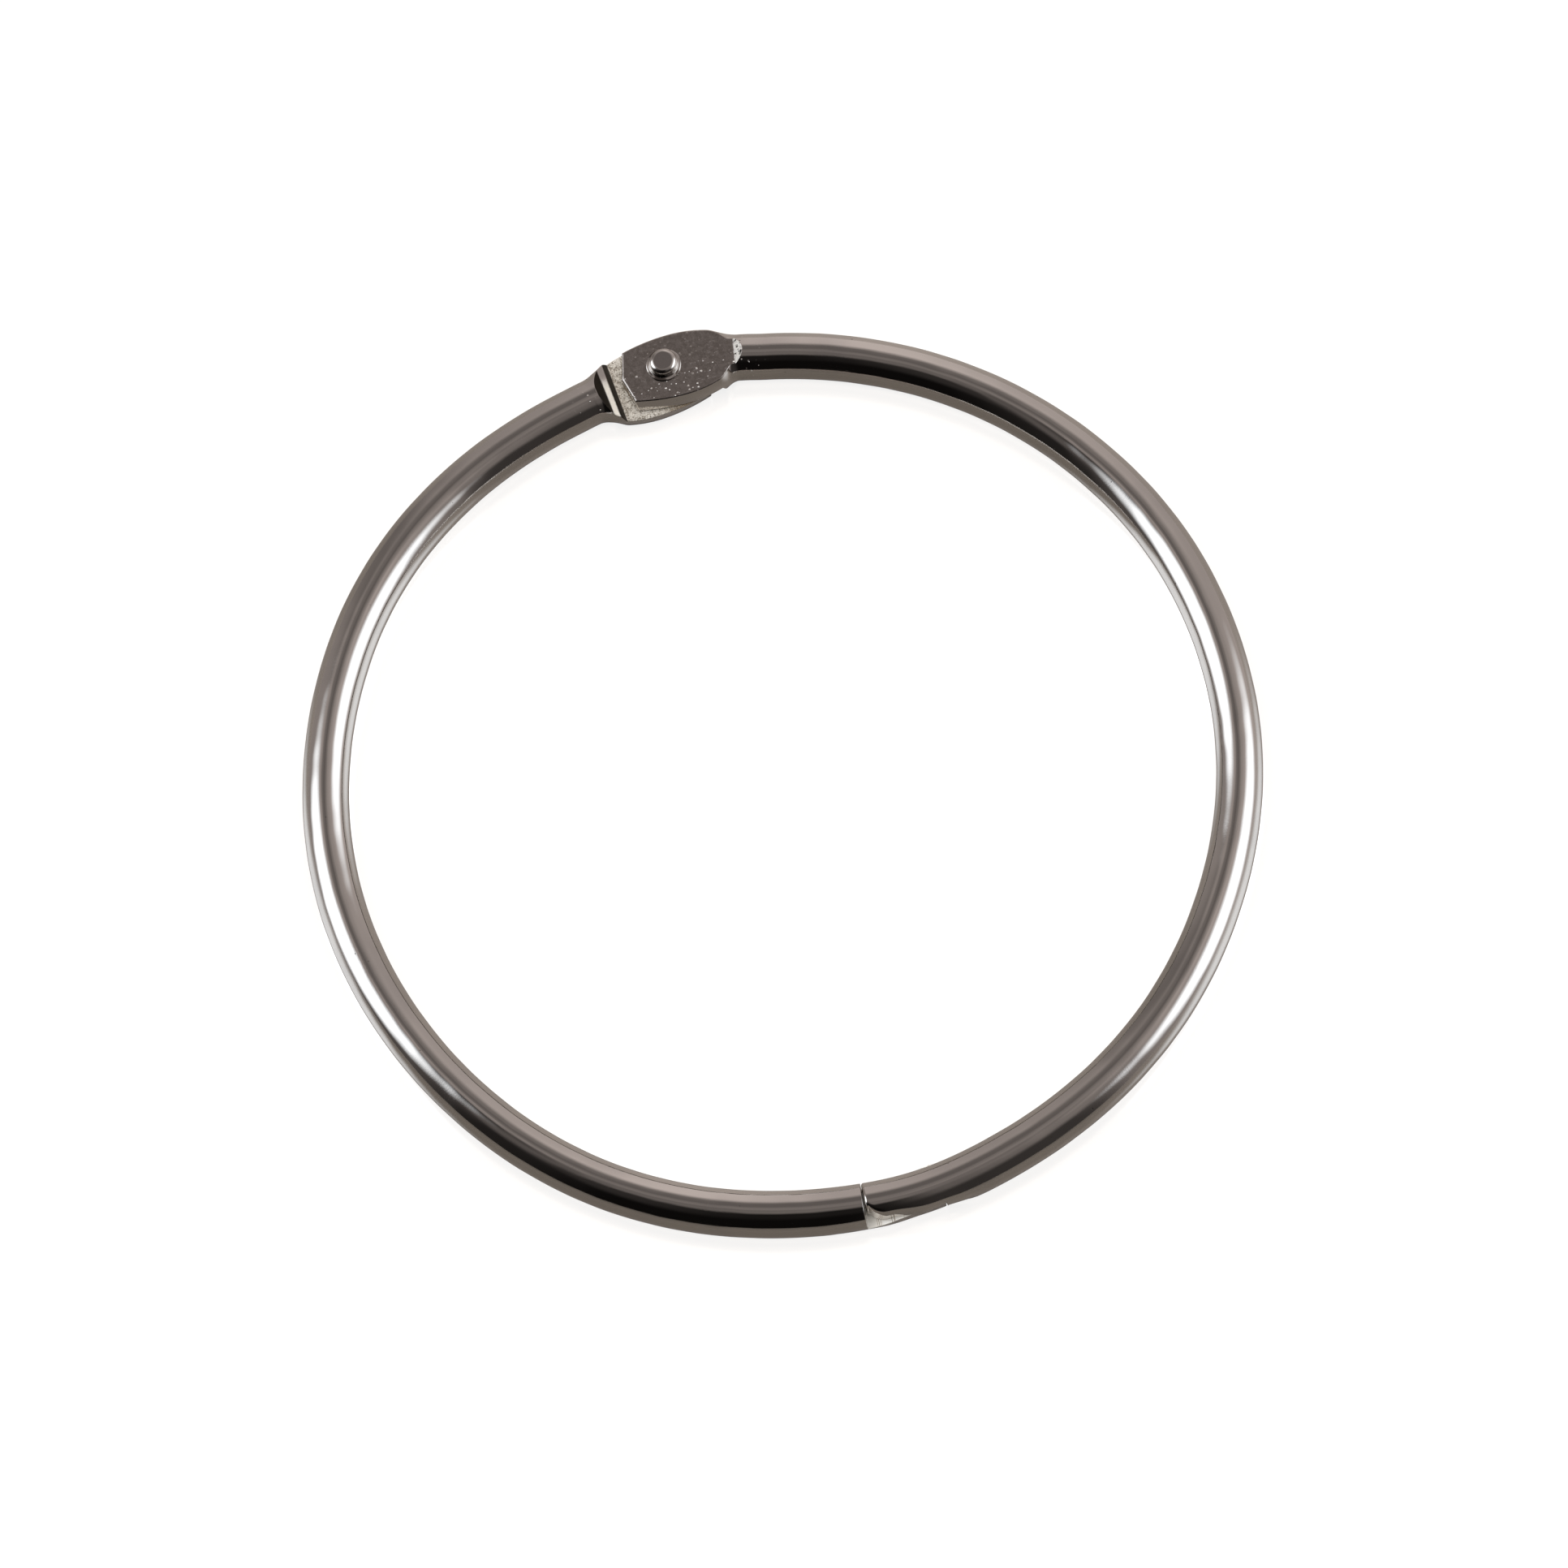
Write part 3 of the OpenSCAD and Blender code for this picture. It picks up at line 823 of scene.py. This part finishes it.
# Angles are in degrees. Distances are in metres here, but sideways is in millimetres.
# Azimuths are from the camera's side of the object, turning to its right. A panel's sizes
# are tangents, and a wall is a row of (azimuth, brightness).
studio = {
    "cameraTurn": -5.73, "cameraHeight": 69.40, "cameraRoll": -9.92,
    "cameraAway": 1.0513, "lens": 275.93, "sideways": (0.18, 0.43), "seen": (0.1, 20),
    "floorSize": 4.0, "floorColour": (0.25, 0.222, 0.195, 1), "floorGloss": 4.4, "floorRoughness": 0.16,
    "floorShown": 0.82, "floorMirrored": 0.02,
    "lamp": {"power": 12, "size": 1.0, "place": (-0.15, 0.05, 1.2), "colour": (1.0, 0.97, 0.92)},
    "leftPanel": {"azimuth": -105, "height": 36, "halfWidth": 0.31, "halfHeight": 0.50,
                  "lean": 15.7, "roundness": 2.2, "soft": 0.42},
    "rightPanel": {"azimuth": 86, "height": 32, "halfWidth": 0.41, "halfHeight": 0.38,
                   "lean": 11.7, "roundness": 3.0, "soft": 0.55},
    "panelLight": (2.02, 2.14, 2.28, 1), "wallTint": (1.0, 0.90, 0.87),
    "lowWall": [(-180, 0.50), (-164, 0.36), (-148, 0.18), (-130, 0.32), (-104, 0.30), (-82, 0.10),
                (-66, 0.02), (-40, 0.005), (-4, 0.005), (18, 0.04), (40, 0.05), (56, 0.28), (80, 0.45),
                (106, 0.52), (128, 0.42), (150, 0.52), (168, 0.70), (180, 0.50)],
    "highWall": [(-180, 0.15), (-160, 0.20), (-142, 0.42), (-124, 0.36), (-104, 0.06), (-75, 0.12),
                 (-58, 0.035), (-20, 0.012), (2, 0.015), (24, 0.15), (52, 0.24), (80, 0.40),
                 (112, 0.50), (140, 0.36), (165, 0.22), (180, 0.15)],
    "ceiling": [(-180, 0.23), (-150, 0.23), (-110, 0.17), (-50, 0.18), (0, 0.20), (60, 0.20),
                (122, 0.27), (180, 0.23)],
    "highWallFrom": (38, 58), "ceilingFrom": (69, 80),
}

side = studio["floorSize"] / 2
level = -wireRadius * mm
corners = [(-side, -side, level), (side, -side, level), (side, side, level), (-side, side, level)]
floor = bpy.data.objects.new("floor", bpy.data.meshes.new("floor"))
floor.data.from_pydata(corners, [], [(0, 1, 2, 3)])
bpy.context.scene.collection.objects.link(floor)

# the floor is lit by the room, and glows evenly besides, far more to the camera than to the plating
floorMaterial, tree, shader = newMaterial("paleFloor")
nodes, links = tree.nodes, tree.links
shader.inputs["Base Color"].default_value = studio["floorColour"]
shader.inputs["Roughness"].default_value = studio["floorRoughness"]
shader.inputs["IOR"].default_value = studio["floorGloss"]
rays = nodes.new("ShaderNodeLightPath")
glow = nodes.new("ShaderNodeEmission")
both = nodes.new("ShaderNodeAddShader")
mirrored = larger(tree, rays.outputs["Is Glossy Ray"], rays.outputs["Is Transmission Ray"])
shown = times(tree, rays.outputs["Is Camera Ray"], studio["floorShown"])
links.new(timesPlus(tree, mirrored, studio["floorMirrored"], shown), glow.inputs["Strength"])
links.new(shader.outputs[0], both.inputs[0])
links.new(glow.outputs[0], both.inputs[1])
links.new(both.outputs[0], nodes["Material Output"].inputs["Surface"])
floor.data.materials.append(floorMaterial)
print("floor made")

world = bpy.data.worlds.new("studio")
bpy.context.scene.world = world
world.use_nodes = True
tree = world.node_tree
nodes, links = tree.nodes, tree.links
nodes.clear()
direction = nodes.new("ShaderNodeTexCoord").outputs["Generated"]
rightward, backward, upward = parted(tree, direction)
turnRound = mathNode(tree, "ARCTAN2", rightward, times(tree, backward, -1))
azimuth = timesPlus(tree, turnRound, 180 / math.pi, -studio["cameraTurn"])
height = times(tree, mathNode(tree, "ARCSINE", upward), 180 / math.pi)


def towards(azimuth, height):
    # the direction with this azimuth and height
    a, h = math.radians(azimuth + studio["cameraTurn"]), math.radians(height)
    return Vector((math.cos(h) * math.sin(a), -math.cos(h) * math.cos(a), math.sin(h)))


def shareOf(vector):
    # how far the looked-at direction goes along a vector
    node = nodes.new("ShaderNodeVectorMath")
    node.operation = "DOT_PRODUCT"
    links.new(direction, node.inputs[0])
    node.inputs[1].default_value = vector
    return node.outputs["Value"]


def softPanel(spec):
    # a large diffuser: the power sum of both distances from its middle, in panel widths,
    # is 1 on its outline, where the light has fallen to half
    ahead = towards(spec["azimuth"], spec["height"])
    aside = Vector((0, 0, 1)).cross(ahead).normalized()
    turned = Matrix.Rotation(math.radians(spec["lean"]), 3, ahead)
    aside, upright = turned @ aside, turned @ ahead.cross(aside)
    depth = larger(tree, shareOf(ahead), 0.05)
    reach = 0
    for axis, size in ((aside, spec["halfWidth"]), (upright, spec["halfHeight"])):
        share = mathNode(tree, "DIVIDE", mathNode(tree, "ABSOLUTE", shareOf(axis)), times(tree, depth, size))
        reach = mathNode(tree, "ADD", reach, mathNode(tree, "POWER", share, spec["roundness"]))
    reach = mathNode(tree, "POWER", reach, 1 / spec["roundness"])
    return fade(tree, reach, 1 - spec["soft"], 1 + spec["soft"], 1, 0)


def wallShade(stops):
    # the brightness of a wall all round: the stops, eased from one to the next
    ramp = nodes.new("ShaderNodeValToRGB")
    links.new(mathNode(tree, "FRACT", timesPlus(tree, azimuth, 1 / 360, 0.5)), ramp.inputs["Fac"])
    ramp.color_ramp.interpolation = "EASE"
    while len(ramp.color_ramp.elements) < len(stops):
        ramp.color_ramp.elements.new(0.5)
    for element, (at, shade) in zip(ramp.color_ramp.elements, stops):
        element.position = (at + 180) / 360
        element.color = (*(shade * part for part in studio["wallTint"]), 1)
    return ramp.outputs["Color"]


room = mixColour(tree, fade(tree, height, *studio["highWallFrom"]), wallShade(studio["lowWall"]),
                 wallShade(studio["highWall"]))
room = mixColour(tree, fade(tree, height, *studio["ceilingFrom"]), room, wallShade(studio["ceiling"]))
panels = mathNode(tree, "ADD", softPanel(studio["leftPanel"]), softPanel(studio["rightPanel"]))
room = mixColour(tree, panels, room, studio["panelLight"])
# past the floor the camera sees plain white
rays = nodes.new("ShaderNodeLightPath")
background = nodes.new("ShaderNodeBackground")
links.new(mixColour(tree, rays.outputs["Is Camera Ray"], room, (1, 1, 1, 1)), background.inputs["Color"])
output = nodes.new("ShaderNodeOutputWorld")
links.new(background.outputs[0], output.inputs["Surface"])

# a soft lamp above the object, for the matt parts alone: the plating mirrors the room without it
lamp = bpy.data.objects.new("lamp", bpy.data.lights.new("lamp", "AREA"))
bpy.context.scene.collection.objects.link(lamp)
lamp.location = studio["lamp"]["place"]
lamp.data.size = studio["lamp"]["size"]
lamp.data.energy = studio["lamp"]["power"]
lamp.data.color = studio["lamp"]["colour"]
lamp.visible_glossy = False

# the camera looks back along its own direction, moved aside by a little and rolled
camera = bpy.data.objects.new("camera", bpy.data.cameras.new("camera"))
bpy.context.scene.collection.objects.link(camera)
bpy.context.scene.camera = camera
camera.data.lens = studio["lens"]
back = towards(0, studio["cameraHeight"])
right = Vector((0, 0, 1)).cross(back).normalized()
above = back.cross(right)
roll = math.radians(studio["cameraRoll"])
right, above = (right * math.cos(roll) + above * math.sin(roll),
                above * math.cos(roll) - right * math.sin(roll))
toRight, down = studio["sideways"]
place = back * studio["cameraAway"] + right * toRight * mm - above * down * mm
camera.matrix_world = Matrix.Translation(place) @ Matrix((right, above, back)).transposed().to_4x4()
camera.data.clip_start, camera.data.clip_end = studio["seen"]
bpy.context.scene.view_settings.view_transform = "Standard"
print("studio ready")
